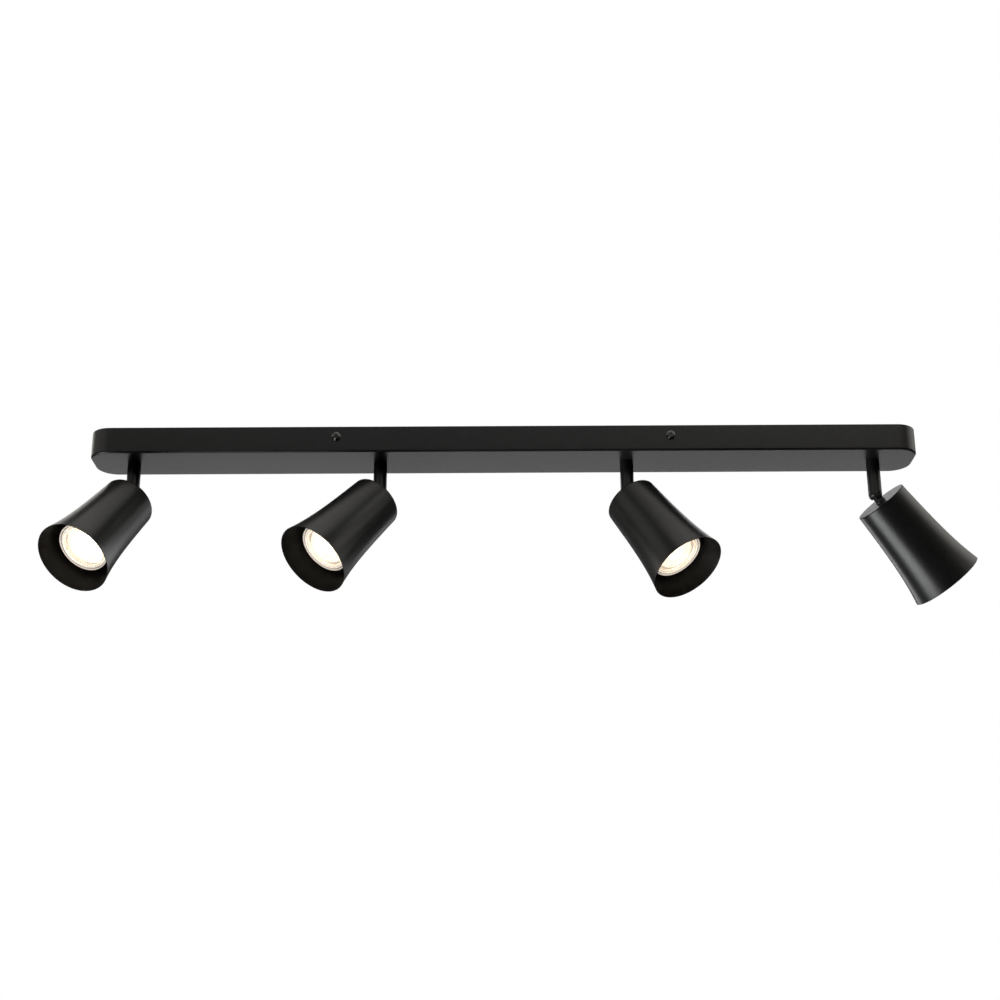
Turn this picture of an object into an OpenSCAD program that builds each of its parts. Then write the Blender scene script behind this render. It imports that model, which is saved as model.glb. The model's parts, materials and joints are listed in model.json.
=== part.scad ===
// Ceiling spot bar, in millimetres. A shallow steel tray hangs on a ceiling strip, and carries
// four lamp heads that pan on hollow stems and tilt on knuckles below it.
// X runs along the bar and +Z points up. The origin is the middle of the bar on the ceiling.

/* [Tray] */
// Length of the tray
tray_l = 800; // [780:10:1000]
// Width of the tray
tray_w = 60; // [58:1:80]
// Height of the tray
tray_h = 26; // [26:1:40]
// Radius of the tray's upright corners
corner_r = 20; // [8:1:25]
// Thickness of the tray's sheet
sheet_t = 1; // [0.8:0.1:1.4]
// Outer radius of the bend around the underside
bend_r = 1.8; // [1.6:0.1:3]

/* [Stems] */
// Distance between neighbouring stems
stem_pitch = 240; // [236:1:250]
// Diameter of the stems
stem_d = 13; // [13:0.5:15]
// Height of the tilt pivots below the ceiling
pivot_drop = 62; // [60:0.5:80]
// Pan of each head, from -Y towards +X
head_pan = [-30.5, -51, 51.5, 112.5]; // [-170:0.5:170]
// Tilt of each head, from straight down
head_tilt = [41.5, 43.5, 37, 43.5]; // [0:0.5:85]

/* [Shades] */
// Length of a head, from its back cap to the rim of the shade
head_l = 100; // [98:1:115]
// Outer radius of the shade at the back cap
back_r = 26.1; // [26:0.1:29]
// Outer radius of the shade at the rim
rim_r = 36.5; // [34:0.5:38]
// Thickness of the shade's wall
shade_t = 0.8; // [0.6:0.1:1]
// Share of the flare that grows evenly along the shade
even_flare = 0.5; // [0.3:0.05:0.8]
// Power that the rest of the flare follows
flare_power = 3.5; // [2:0.5:5]

/* [Lamps] */
// Diameter of a lamp's face
lamp_d = 50; // [49:0.5:51]
// Depth of a lamp's face behind the rim of the shade
lamp_recess = 18; // [15:0.5:20]

/* [Ceiling strip] */
// Length of the ceiling strip
strip_l = 360; // [350:10:400]
// Width of the ceiling strip
strip_w = 40; // [36:1:44]
// Thickness of the ceiling strip
strip_t = 1.5; // [1.2:0.1:2]
// Distance between the two screw slots
slot_pitch = 200; // [160:10:220]
// Length of a screw slot, end to end
slot_l = 20; // [12:1:30]
// Width of a screw slot
slot_w = 5; // [4:0.5:6]
// Distance between the side screws along the bar
side_screw_pitch = 322; // [300:2:330]
// Radius of the hole for the supply cable
cable_r = 7; // [5:0.5:8]

/* [Hidden] */
HEADS = [1:4];
$fn = 64;
cut = 1;           // how far a cutter runs past the face it opens
slack = 0.05;      // radial clearance of a running fit

// Tray and side screws
floor_z = sheet_t - tray_h;
run_x = tray_l / 2 - corner_r;
run_y = tray_w / 2 - corner_r;
side_screw_r = 2;
side_screw_z = -10.5;
side_screw_l = 8;
tab_l = 16;
tab_drop = 17;
tab_y = tray_w / 2 - sheet_t - 0.2;

// Stems: a threaded spigot through the tray, a barrel below it and a fork around the pivot
spigot_r = 5;
spigot_top = floor_z + 10;
barrel_top = -tray_h - 0.25;
bore_r = 4;
end_round = 3.8;
fork_gap = 5.6;
fork_roof = 4.5;
fork_back = 4.4;
pin_r = 1.5;
stop_r = 12;
stop_w = 1.8;
washer_z = floor_z + 0.4;
washer_t = 1;
nut_t = 4;

// Knuckle, in the head's own frame: z runs from the tilt pivot along the beam
cap_z = 8;
cap_t = 1.5;
groove_z = cap_z + 0.8;
groove_w = 0.5;
tongue_w = 7.4;
tongue_t = 5;
flange_r = 5.1;
stud_r = 4;
stud_end = cap_z + 9;
lead_r = 0.7;
lead_way = 1.7;

// Lampholder and its bracket
bracket_z = cap_z + cap_t;
bracket_half = 17;
bracket_w = 12;
bracket_t = 1;
holder_z = 24;
holder_h = 16;
holder_r = 15;
holder_front = holder_z + holder_h;
holder_screw_x = 11;
holder_screw_r = 1.5;

// Lamp: a two-pin bayonet base, a flared bulb and a lens
rim_z = cap_z + head_l;
lamp_front = rim_z - lamp_recess;
lamp_back = holder_front + 0.5;
lamp_pin_at = 5;
lamp_pin_r = 1.5;
lamp_pin_head_r = 2.4;
unlock_turn = 22;
collar_r = 14;
collar_z = lamp_back + 16;
glass_t = 1.2;

// Wiring inside the tray
wire_r = 1.1;
lane_gap = 3;
block_x = 45;
block_h = 14;
block_d = 17;
pole_gap = 10;
clamp_z = -strip_t - 7.75;
earth_x = -40;

function stem_x(n) = (n - 2.5) * stem_pitch;
function unit(v) = v / norm(v);

// Points of an arc in a plane
function arc(centre, r, from, to, steps = 6) =
    [for (k = [0:steps]) let (a = from + (to - from) * k / steps)
        centre + r * [cos(a), sin(a)]];

// A route with each inner corner rounded
function rounded(p, r, steps = 4) = concat(
    [p[0]],
    [for (k = [1:len(p) - 2], s = [0:steps])
        let (t = s / steps, back = unit(p[k - 1] - p[k]), on = unit(p[k + 1] - p[k]))
        p[k] + r * ((1 - t) * (1 - t) * back + t * t * on)],
    [p[len(p) - 1]]);

function tangents(p) = let (last = len(p) - 1)
    [for (k = [0:last]) unit(p[min(k + 1, last)] - p[max(k - 1, 0)])];

// A side direction carried along a route without twisting
function carried(t, k, first) = k == 0 ? [first] :
    let (before = carried(t, k - 1, first), side = before[k - 1])
    concat(before, [unit(side - (side * t[k]) * t[k])]);

// A round wire along a route
module wire(p, r, sides = 8) {
    t = tangents(p);
    start = cross(t[0], abs(t[0][2]) < 0.9 ? [0, 0, 1] : [1, 0, 0]);
    side = carried(t, len(p) - 1, unit(start));
    points = [for (k = [0:len(p) - 1], s = [0:sides - 1]) let (a = 360 * s / sides)
        p[k] + r * (cos(a) * side[k] + sin(a) * cross(t[k], side[k]))];
    walls = [for (k = [0:len(p) - 2], s = [0:sides - 1]) let (u = (s + 1) % sides)
        [k * sides + s, (k + 1) * sides + s, (k + 1) * sides + u, k * sides + u]];
    start_cap = [for (s = [0:sides - 1]) s];
    end_cap = [for (s = [sides - 1:-1:0]) (len(p) - 1) * sides + s];
    polyhedron(points = points, faces = concat([start_cap], walls, [end_cap]));
}

module tube(outer, inner, h) difference() {
    cylinder(r = outer, h = h);
    translate([0, 0, -cut]) cylinder(r = inner, h = h + 2 * cut);
}

module hex_nut(across_corners, hole, h) difference() {
    cylinder(r = across_corners / 2, h = h, $fn = 6);
    translate([0, 0, -cut]) cylinder(r = hole, h = h + 2 * cut);
}

// The frame of a stem: the head swings towards its -Y
module at_stem(n) translate([stem_x(n), 0, 0]) rotate([0, 0, head_pan[n - 1]]) children();

// The frame of a head: z runs from its tilt pivot along the beam
module at_head(n) translate([stem_x(n), 0, -pivot_drop])
    rotate([180 - head_tilt[n - 1], 0, head_pan[n - 1]]) children();

// ---- Tray ----

// Section of the tray, from a corner's centre out to the wall
module tray_section() {
    bend = [corner_r - bend_r, bend_r - tray_h];
    polygon(concat(
        [[0, -tray_h]],
        arc(bend, bend_r, -90, 0),
        [[corner_r, 0], [corner_r - sheet_t, 0]],
        arc(bend, bend_r - sheet_t, 0, -90),
        [[0, floor_z]]));
}

module tray_side(length) rotate([90, 0, 90])
    linear_extrude(height = length, center = true) tray_section();

module bar_cover() color([0.06, 0.06, 0.06]) difference() {
    union() {
        for (half = [0, 180]) rotate([0, 0, half]) {
            translate([run_x, run_y, 0]) rotate_extrude(angle = 90) tray_section();
            translate([-run_x, run_y, 0]) rotate([0, 0, 90])
                rotate_extrude(angle = 90) tray_section();
            translate([0, run_y, 0]) tray_side(2 * run_x);
            translate([run_x, 0, 0]) rotate([0, 0, -90]) tray_side(2 * run_y);
        }
        translate([-run_x, -run_y, -tray_h]) cube([2 * run_x, 2 * run_y, sheet_t]);
        // a stop pin for each stem's swivel
        for (n = HEADS) translate([stem_x(n), stop_r, floor_z - sheet_t / 2])
            cylinder(r = stop_w / 2, h = sheet_t / 2 + 2.4);
    }
    for (n = HEADS) translate([stem_x(n), 0, -tray_h - cut])
        cylinder(r = spigot_r + slack, h = sheet_t + 2 * cut);
    for (x = [-1, 1]) translate([x * side_screw_pitch / 2, 0, side_screw_z]) rotate([90, 0, 0])
        cylinder(r = side_screw_r + 0.3, h = tray_w + 2 * cut, center = true);
}

// ---- Ceiling strip ----

module slot_cutter() {
    between = slot_l - slot_w;
    for (x = [-1, 1]) translate([x * between / 2, 0, 0])
        cylinder(r = slot_w / 2, h = strip_t + 2 * cut);
    translate([-between / 2, -slot_w / 2, 0]) cube([between, slot_w, strip_t + 2 * cut]);
}

module ceiling_bracket() color([0.7, 0.71, 0.72]) difference() {
    union() {
        translate([-strip_l / 2, -strip_w / 2, -strip_t]) cube([strip_l, strip_w, strip_t]);
        for (x = [-1, 1]) translate([x * side_screw_pitch / 2, 0, 0]) {
            translate([-tab_l / 2, -tab_y, -strip_t]) cube([tab_l, 2 * tab_y, strip_t]);
            for (y = [-1, 1]) {
                translate([-tab_l / 2, y * (tab_y - strip_t / 2) - strip_t / 2, -tab_drop])
                    cube([tab_l, strip_t, tab_drop]);
                // a clinched nut behind each tab
                translate([0, y * (tab_y - strip_t - 1), side_screw_z]) rotate([90, 0, 0])
                    cylinder(r = 3.5, h = 2.6, center = true);
            }
        }
    }
    for (x = [-1, 1]) {
        translate([x * slot_pitch / 2, 0, -strip_t - cut]) slot_cutter();
        translate([x * side_screw_pitch / 2, 0, side_screw_z]) rotate([90, 0, 0])
            cylinder(r = side_screw_r + slack, h = tray_w, center = true);
        translate([block_x + x * 19, 0, -strip_t - cut])
            cylinder(r = 1.5 + slack, h = strip_t + 2 * cut);
    }
    translate([0, 0, -strip_t - cut]) cylinder(r = cable_r + 3, h = strip_t + 2 * cut);
    translate([earth_x, 0, -strip_t - cut])
        cylinder(r = side_screw_r + slack, h = strip_t + 2 * cut);
}

module side_screw() difference() {
    union() {
        rotate_extrude() polygon([[0, -side_screw_l], [side_screw_r, -side_screw_l],
            [side_screw_r, 0], [4.6, 0], [4.6, 0.6], [4.3, 0.8], [3.7, 0.8], [3.6, 1.9],
            [2.8, 2.6], [0, 2.6]]);
    }
    for (turn = [0, 90]) rotate([0, 0, turn])
        translate([-1.9, -0.45, 1.2]) cube([3.8, 0.9, 2]);
}

module side_screws() color([0.12, 0.12, 0.12])
    for (x = [-1, 1], y = [-1, 1])
        translate([x * side_screw_pitch / 2, y * tray_w / 2, side_screw_z])
            rotate([-90 * y, 0, 0]) side_screw();

module cable_grommet() color([0.15, 0.15, 0.15]) rotate_extrude()
    polygon([[cable_r, -strip_t - 1.6], [cable_r + 6, -strip_t - 1.6], [cable_r + 6, -strip_t],
        [cable_r + 3 - slack, -strip_t], [cable_r + 3 - slack, -0.2], [cable_r, -0.2]]);

// ---- Terminals ----

module terminal_block() color([0.93, 0.92, 0.86]) translate([block_x, 0, -strip_t])
    difference() {
        union() {
            translate([-23, -5, -3]) cube([46, 10, 3]);
            translate([-14, -6.5, -9]) cube([28, 13, 9]);
            for (pole = [-1:1]) translate([pole * pole_gap - 4.5, -block_d / 2, -block_h])
                cube([9, block_d, block_h]);
        }
        for (pole = [-1:1]) translate([pole * pole_gap, 0, 0]) {
            translate([0, 0, clamp_z + strip_t]) rotate([90, 0, 0])
                cylinder(r = 3 + slack, h = block_d + 2 * cut, center = true);
            for (y = [-4, 4]) translate([0, y, -block_h - cut])
                cylinder(r = 2.1, h = block_h / 2 + cut);
        }
        for (x = [-19, 19]) translate([x, 0, -3 - cut]) cylinder(r = 1.7, h = 3 + 2 * cut);
    }

// A slotted screw, head down
module slotted_screw(head_r, head_h, shank_r, shank_l) difference() {
    union() {
        translate([0, 0, -head_h]) cylinder(r = head_r, h = head_h);
        translate([0, 0, -cut]) cylinder(r = shank_r, h = shank_l + cut);
    }
    translate([-head_r - cut, -0.35, -head_h - cut]) cube([2 * head_r + 2 * cut, 0.7, cut + 0.8]);
}

module block_screws() color([0.75, 0.75, 0.76])
    for (x = [-19, 19]) translate([block_x + x, 0, -strip_t - 3])
        slotted_screw(2.75, 1.8, 1.5, 4.1);

module terminal_clamps() color([0.8, 0.66, 0.3])
    for (pole = [-1:1]) translate([block_x + pole * pole_gap, 0, clamp_z]) difference() {
        rotate([90, 0, 0]) translate([0, 0, -6.5]) tube(3, 2.3, 13);
        for (y = [-4, 4]) translate([0, y, -4]) cylinder(r = 1.5 + slack, h = 4);
    }

module terminal_screws() color([0.75, 0.75, 0.76])
    for (pole = [-1:1], y = [-4, 4])
        translate([block_x + pole * pole_gap, y, clamp_z - 3.6])
            slotted_screw(1.95, 2, 1.5, 2.2);

// Screw, washer and ring lug that bond the strip to earth
module earth_terminal() color([0.8, 0.66, 0.3]) translate([earth_x, 0, -strip_t]) {
    translate([0, 0, -1.8]) slotted_screw(3.6, 2.4, side_screw_r, 3);
    translate([0, 0, -0.8]) tube(4.5, side_screw_r + slack, 0.8);
    translate([0, 0, -1.7]) difference() {
        union() {
            cylinder(r = 3.8, h = 0.8);
            translate([-1.6, 0, 0]) cube([3.2, 7, 0.8]);
            translate([0, 6, -0.4]) rotate([-90, 0, 0]) cylinder(r = 1.7, h = 5);
        }
        translate([0, 0, -cut]) cylinder(r = side_screw_r + slack, h = 3);
        translate([0, 7, -0.4]) rotate([-90, 0, 0]) cylinder(r = wire_r + slack, h = 6);
    }
}

// ---- Wiring in the tray ----

// From inside a stem up into the tray, along its own lane and into its pole of the block.
// Conductors 0, 1 and 2 are live, neutral and earth.
function wire_route(n, conductor) = let (
    outer = n == 1 || n == 4,
    left = n < 2.5,
    z = outer ? clamp_z + 1.25 : clamp_z - 1.25,
    x = stem_x(n) + (1 - conductor) * 2.5,
    lane = left ? -14 - lane_gap * conductor : 14 + lane_gap * (2 - conductor),
    pole = block_x + (conductor - 1) * pole_gap - 1.2,
    entry = (block_d / 2 - 0.6) * (left ? -1 : 1))
    [[x, 0, 12 - pivot_drop], [x, 0, z], [x, lane, z], [pole, lane, z], [pole, entry, z]];

module head_wires(conductor) for (n = HEADS)
    wire(rounded(wire_route(n, conductor), 4), wire_r);

module live_wires() color([0.4, 0.2, 0.1]) head_wires(0);

module neutral_wires() color([0.1, 0.25, 0.7]) head_wires(1);

module earth_wires() color([0.3, 0.6, 0.15]) {
    head_wires(2);
    pole = block_x + pole_gap + 1.2;
    bond_z = -strip_t - 2.1;
    wire(rounded([[earth_x, 7.5, bond_z], [earth_x, 22, bond_z], [pole, 22, bond_z],
        [pole, 11.5, bond_z], [pole, 11.5, clamp_z], [pole, block_d / 2 - 0.6, clamp_z]],
        1.8), wire_r);
}

// ---- Stems ----

module stem_body() {
    r = stem_d / 2;
    rotate_extrude() polygon(concat(
        [[0, spigot_top], [spigot_r - 0.4, spigot_top], [spigot_r, spigot_top - 0.4],
         [spigot_r, barrel_top], [r - 0.4, barrel_top], [r, barrel_top - 0.4]],
        arc([r - end_round, -pivot_drop], end_round, 0, -90),
        [[0, -pivot_drop - end_round]]));
}

module stem(n) color([0.05, 0.05, 0.05]) at_stem(n) difference() {
    stem_body();
    bore_end = -pivot_drop + fork_roof - 0.5;
    translate([0, 0, bore_end]) cylinder(r = bore_r, h = spigot_top + cut - bore_end);
    translate([0, 0, -pivot_drop]) {
        translate([-fork_gap / 2, -stem_d, -stem_d])
            cube([fork_gap, stem_d + fork_back, stem_d + fork_roof]);
        rotate([0, 90, 0]) cylinder(r = pin_r + slack, h = stem_d + 2 * cut, center = true);
        translate([-stem_d, 0, 0]) rotate([0, 90, 0]) cylinder(r = 2.9, h = stem_d - 4.6);
        translate([4.4, 0, 0]) rotate([0, 90, 0]) cylinder(r = 3.25, h = stem_d, $fn = 6);
    }
}

module swivel_fasteners(n) color([0.7, 0.71, 0.72]) at_stem(n) {
    // stop washer: its tab meets the tray's stop pin at each end of the pan
    translate([0, 0, washer_z]) difference() {
        union() {
            cylinder(r = 8, h = washer_t);
            translate([-stop_w / 2, -stop_r - 1, 0]) cube([stop_w, stop_r - 5, washer_t]);
        }
        translate([0, 0, -cut]) cylinder(r = spigot_r + slack, h = washer_t + 2 * cut);
    }
    translate([0, 0, washer_z + washer_t]) tube(8, spigot_r + 0.3, washer_t);
    translate([0, 0, washer_z + 2 * washer_t]) hex_nut(16.2, spigot_r + slack, nut_t);
    // tilt screw through the fork, and its nut
    translate([0, 0, -pivot_drop]) rotate([0, 90, 0]) {
        difference() {
            union() {
                translate([0, 0, -4.6]) cylinder(r = pin_r, h = 10.7);
                translate([0, 0, -6]) cylinder(r = 2.7, h = 1.4);
            }
            translate([-3, -0.4, -7]) cube([6, 0.8, 1.7]);
        }
        translate([0, 0, 4.4]) hex_nut(6.2, pin_r + slack, 1.7);
    }
}

// ---- Heads ----

module knuckle(n) color([0.05, 0.05, 0.05]) at_head(n) difference() {
    union() {
        rotate([0, 90, 0]) cylinder(r = 4, h = tongue_t, center = true);
        translate([-tongue_t / 2, -tongue_w / 2, 0]) cube([tongue_t, tongue_w, cap_z - 1]);
        translate([0, 0, cap_z - 1.2]) cylinder(r = flange_r, h = 1.2);
        translate([0, 0, cap_z - 0.5]) cylinder(r = stud_r, h = stud_end - cap_z + 0.5);
    }
    rotate([0, 90, 0]) cylinder(r = pin_r + slack, h = tongue_t + 2 * cut, center = true);
    // the leads' way in, from the back of the tongue to the end of the stud
    translate([0, 0, 4.2]) cylinder(r = lead_way, h = stud_end);
    translate([0, 0, 4.4]) rotate([-90, 0, 0]) cylinder(r = 1.5, h = 6);
}

module back_cap(n) color([0.06, 0.06, 0.06]) at_head(n) difference() {
    plug_r = back_r - shade_t - slack;
    rotate_extrude() polygon([[0, cap_z], [back_r - 0.4, cap_z], [back_r, cap_z + 0.4],
        [back_r, groove_z], [plug_r - 0.6, groove_z], [plug_r - 0.6, groove_z + groove_w],
        [plug_r, groove_z + groove_w], [plug_r, cap_z + 5], [plug_r - 1.2, cap_z + 5],
        [plug_r - 1.2, cap_z + cap_t], [0, cap_z + cap_t]]);
    translate([0, 0, cap_z - cut]) cylinder(r = stud_r + slack, h = cap_t + 2 * cut);
}

// Outer radius of the shade at a share t of the head's length
function flare(t) = back_r
    + (rim_r - back_r) * (even_flare * t + (1 - even_flare) * pow(t, flare_power));

module shade(n) color([0.06, 0.06, 0.06]) at_head(n) {
    steps = 16;
    start = (groove_z + groove_w - cap_z) / head_l;
    shares = [for (k = [0:steps]) start + (1 - start) * k / steps];
    rotate_extrude() polygon(concat(
        [for (t = shares) [flare(t), cap_z + head_l * t]],
        [for (k = [steps:-1:0]) let (t = shares[k]) [flare(t) - shade_t, cap_z + head_l * t]]));
}

module holder_bracket(n) color([0.7, 0.71, 0.72]) at_head(n) difference() {
    union() {
        translate([-bracket_half, -bracket_w / 2, bracket_z])
            cube([2 * bracket_half, bracket_w, bracket_t]);
        for (x = [-1, 1]) {
            translate([x * (bracket_half - bracket_t / 2) - bracket_t / 2, -bracket_w / 2,
                bracket_z]) cube([bracket_t, bracket_w, holder_z - bracket_z]);
            translate([x * (bracket_half - 5) - 5, -bracket_w / 2, holder_z - bracket_t])
                cube([10, bracket_w, bracket_t]);
        }
    }
    translate([0, 0, bracket_z - cut]) cylinder(r = stud_r + slack, h = bracket_t + 2 * cut);
    for (x = [-1, 1]) translate([x * holder_screw_x, 0, holder_z - bracket_t - cut])
        cylinder(r = holder_screw_r + slack, h = bracket_t + 2 * cut);
}

module ring_sector(inner, outer, from, to, h) rotate([0, 0, from])
    rotate_extrude(angle = to - from) translate([inner, 0]) square([outer - inner, h]);

// Ceramic holder with a keyhole slot for each lamp pin
module lampholder(n) color([0.92, 0.91, 0.88]) at_head(n) difference() {
    translate([0, 0, holder_z]) cylinder(r = holder_r, h = holder_h);
    for (x = [-1, 1]) translate([x * holder_screw_x, 0, holder_z - cut]) {
        cylinder(r = holder_screw_r + 0.2, h = holder_h);
        translate([0, 0, cut + holder_h / 2]) cylinder(r = 3.2, h = holder_h);
    }
    for (pin = [90, 270]) {
        translate([0, 0, holder_front - 3 - cut])
            ring_sector(3.1, 6.9, pin - 23, pin + unlock_turn, 3 + 2 * cut);
        translate([0, 0, holder_front - 7])
            ring_sector(1.9, 8.1, pin - 33, pin + unlock_turn + 33, 4);
        rotate([0, 0, pin + unlock_turn]) translate([lamp_pin_at, 0, holder_front - 5])
            cylinder(r = lamp_pin_head_r + 0.4, h = 5 + cut);
    }
    for (y = [-6, 6]) translate([0, y, holder_z - cut]) cylinder(r = 1.2, h = 7 + cut);
}

module head_fasteners(n) color([0.75, 0.75, 0.76]) at_head(n) {
    translate([0, 0, bracket_z + bracket_t]) {
        tube(7.5, stud_r + 0.2, 1);
        translate([0, 0, 1]) hex_nut(15, stud_r + slack, 4);
    }
    for (x = [-1, 1]) translate([x * holder_screw_x, 0, 0]) {
        translate([0, 0, holder_z - 2.5]) cylinder(r = holder_screw_r, h = holder_h / 2 + 3);
        translate([0, 0, holder_z + holder_h / 2]) difference() {
            cylinder(r = 2.75, h = 2);
            translate([-3, -0.4, 1.1]) cube([6, 0.8, cut]);
        }
    }
}

// Two leads through the knuckle's stud into the back of the holder
module head_leads(n) color([0.85, 0.82, 0.75]) at_head(n)
    for (y = [-1, 1]) wire(rounded([[0, y * 0.85, cap_z + 1], [0, y * 0.85, stud_end + 1.5],
        [0, y * 6, holder_z - 2.5], [0, y * 6, holder_z + 5]], 1.2, 3), lead_r);

module lamp_base(n) color([0.9, 0.9, 0.88]) at_head(n) {
    rotate_extrude() polygon([[0, lamp_back], [11.5, lamp_back], [12.3, lamp_back + 0.8],
        [12.3, lamp_back + 11], [collar_r, lamp_back + 13], [collar_r, collar_z],
        [collar_r - glass_t, collar_z], [collar_r - glass_t, collar_z + 3],
        [0, collar_z + 3]]);
    for (pin = [90, 270]) rotate([0, 0, pin]) translate([lamp_pin_at, 0, 0]) {
        translate([0, 0, holder_front - 4.4]) cylinder(r = lamp_pin_r, h = 5.5);
        translate([0, 0, holder_front - 6.4]) cylinder(r = lamp_pin_head_r, h = 2.5);
    }
}

// Flared bulb: a thin shell from the collar to a straight band at the face
module lamp_bulb(n) color([0.85, 0.88, 0.9, 0.5]) at_head(n) {
    steps = 10;
    band = 3;
    lamp_r = lamp_d / 2;
    reach = lamp_front - band - collar_z;
    shell = [for (k = [0:steps]) let (t = k / steps)
        [collar_r + (lamp_r - collar_r) * pow(t, 0.7), collar_z + reach * t]];
    rotate_extrude() polygon(concat(
        shell,
        [[lamp_r, lamp_front - 0.5], [lamp_r - 0.5, lamp_front],
         [lamp_r - glass_t, lamp_front]],
        [for (k = [steps:-1:1]) shell[k] - [glass_t, 0]],
        [[collar_r - glass_t + 0.05, collar_z]]));
}

// Stepped lens inside the band
module lamp_lens(n) color([0.95, 0.93, 0.85]) at_head(n) {
    lens_r = lamp_d / 2 - glass_t - slack;
    rotate_extrude() polygon([[0, lamp_front - 2.6], [lens_r, lamp_front - 2.6],
        [lens_r, lamp_front - 1], [lens_r - 2, lamp_front - 1],
        [lens_r - 2, lamp_front - 0.4], [9, lamp_front - 0.4], [8, lamp_front - 1.2],
        [0, lamp_front - 1.2]]);
}

bar_cover();
ceiling_bracket();
side_screws();
cable_grommet();
terminal_block();
block_screws();
terminal_clamps();
terminal_screws();
earth_terminal();
live_wires();
neutral_wires();
earth_wires();
for (n = HEADS) {
    stem(n);
    swivel_fasteners(n);
    knuckle(n);
    back_cap(n);
    shade(n);
    holder_bracket(n);
    lampholder(n);
    head_fasteners(n);
    head_leads(n);
    lamp_base(n);
    lamp_bulb(n);
    lamp_lens(n);
}
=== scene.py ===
"""Looks of the ceiling spot bar: fine meshes, materials, studio and camera around the CAD frame."""

import json
import math

import bmesh
import bpy
from mathutils import Matrix, Vector


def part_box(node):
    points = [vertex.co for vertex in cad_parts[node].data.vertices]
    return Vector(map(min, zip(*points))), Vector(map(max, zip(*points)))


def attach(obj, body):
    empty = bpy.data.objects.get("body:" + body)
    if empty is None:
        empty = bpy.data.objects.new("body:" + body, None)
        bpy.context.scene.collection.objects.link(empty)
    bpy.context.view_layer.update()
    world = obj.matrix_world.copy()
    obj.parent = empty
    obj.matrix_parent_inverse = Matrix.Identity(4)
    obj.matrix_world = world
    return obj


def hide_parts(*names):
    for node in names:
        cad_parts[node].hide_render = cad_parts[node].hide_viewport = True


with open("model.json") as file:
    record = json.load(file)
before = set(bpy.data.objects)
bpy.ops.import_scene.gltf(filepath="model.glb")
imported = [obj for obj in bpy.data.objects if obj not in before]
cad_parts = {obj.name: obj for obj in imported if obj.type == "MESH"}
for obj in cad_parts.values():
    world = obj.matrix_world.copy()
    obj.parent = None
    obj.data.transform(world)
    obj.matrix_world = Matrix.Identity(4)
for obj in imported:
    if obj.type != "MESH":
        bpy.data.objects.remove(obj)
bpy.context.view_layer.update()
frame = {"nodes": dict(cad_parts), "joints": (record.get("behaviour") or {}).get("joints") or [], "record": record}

# Shapes are drawn in millimetres, as in the CAD source, and each piece is scaled to metres.
MM = 0.001
HEADS = (1, 2, 3, 4)
JOINTS = {joint["name"]: joint for joint in frame["joints"]}

# Tray
TRAY_LOW, TRAY_HIGH = (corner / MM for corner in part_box("bar_cover"))
CORNER_R = 20
SHEET_T = 1
BEND_R = 1.8
FLOOR_Z = TRAY_LOW.z + SHEET_T
STOP_PIN_Y = 12
STOP_PIN_R = 0.9
STOP_PIN_H = 2.4

# Side screws, measured from the tray's wall outwards
SHANK_R = 2
SHANK_L = 8
COLLAR_TOP = 0.8
SCREW_COLLAR_R = 4.6
SCREW_HEAD_R = 3.75
SCREW_HEAD_OUT = 2.6
RECESS_L = 4.4
RECESS_W = 1.0
RECESS_BOTTOM = 1.0

# Stems
STEM_R = 6.5
SPIGOT_R = 5
SPIGOT_TOP = FLOOR_Z + 10
BARREL_TOP = TRAY_LOW.z - 0.25
STEM_BORE_R = 4
STEM_END_R = 3.8
PIVOT_Z = JOINTS["tilt_1"]["pos_m"][2] / MM
FORK_GAP = 5.6
FORK_ROOF = 4.5
FORK_BACK = 4.4
NUT_POCKET_R = 3.25

# Tilt screw, measured along it from the stem's axis
TILT_PIN_R = 1.5
PIN_HEAD_R = 2.7
PIN_HEAD_TOP = -6
PIN_HEAD_SEAT = -4.6
PIN_SLOT_W = 0.8
PIN_SLOT_DEPTH = 0.7
PIN_NUT_SEAT = 4.4
PIN_END = 6.1
PIN_NUT_W = 6.2

# Stop washer, spring washer and nut on a stem
STOP_WASHER_R = 8
STOP_TAB_W = 1.8
WASHER_T = 1
WASHER_Z = FLOOR_Z + 0.4
STEM_NUT_W = 16.2
STEM_NUT_T = 4
SPRING_GAP = 0.7

# Heads, in their own frames: z runs from the tilt pivot along the beam, x along the pin
CAP_Z = 8
CAP_T = 1.5
PLATE_EDGE = 0.3
SEAM_W = 0.5
SEAM_DEPTH = 0.25
HEAD_L = 100
RIM_Z = CAP_Z + HEAD_L
BACK_R = 26.1
RIM_R = 36.5
SHADE_T = 0.8
EVEN_FLARE = 0.5
FLARE_POWER = 3.5
TONGUE_W = 7.4
TONGUE_T = 5
TONGUE_END_R = 4
FLANGE_R = 5.1
FLANGE_Z = CAP_Z - 1.2
LEAD_WAY_R = 1.7
LEAD_WAY_Z = 4.4
STUD_R = 4
STUD_END = 17

# Lamps
LAMP_R = 25
LAMP_FRONT = RIM_Z - 18
COLLAR_R = 14
COLLAR_Z = 56.5
BAND_L = 3
GLASS_T = 1.2
LENS_R = LAMP_R - GLASS_T - 0.05
LENS_BACK = 2.6
RIBS = 64
BEAD_R = 22.2
RIB_START_R = 20.7
RIB_L = 6.1
RIB_DEPTH = 0.75
STEP_EDGES = (12.6, 11.4, 10.2)
DOME_R = 8.3
SOURCE_R = 8
SOURCE_DEPTH = 13
SOURCE_DOME = 1.5
REFLECTOR_FLARE = 11.4

# Tints of the studio's lights
WARM = (1, 0.97, 0.91)
COOL = (0.95, 0.99, 1)


# ---- Frames of the moving bodies ----


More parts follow.
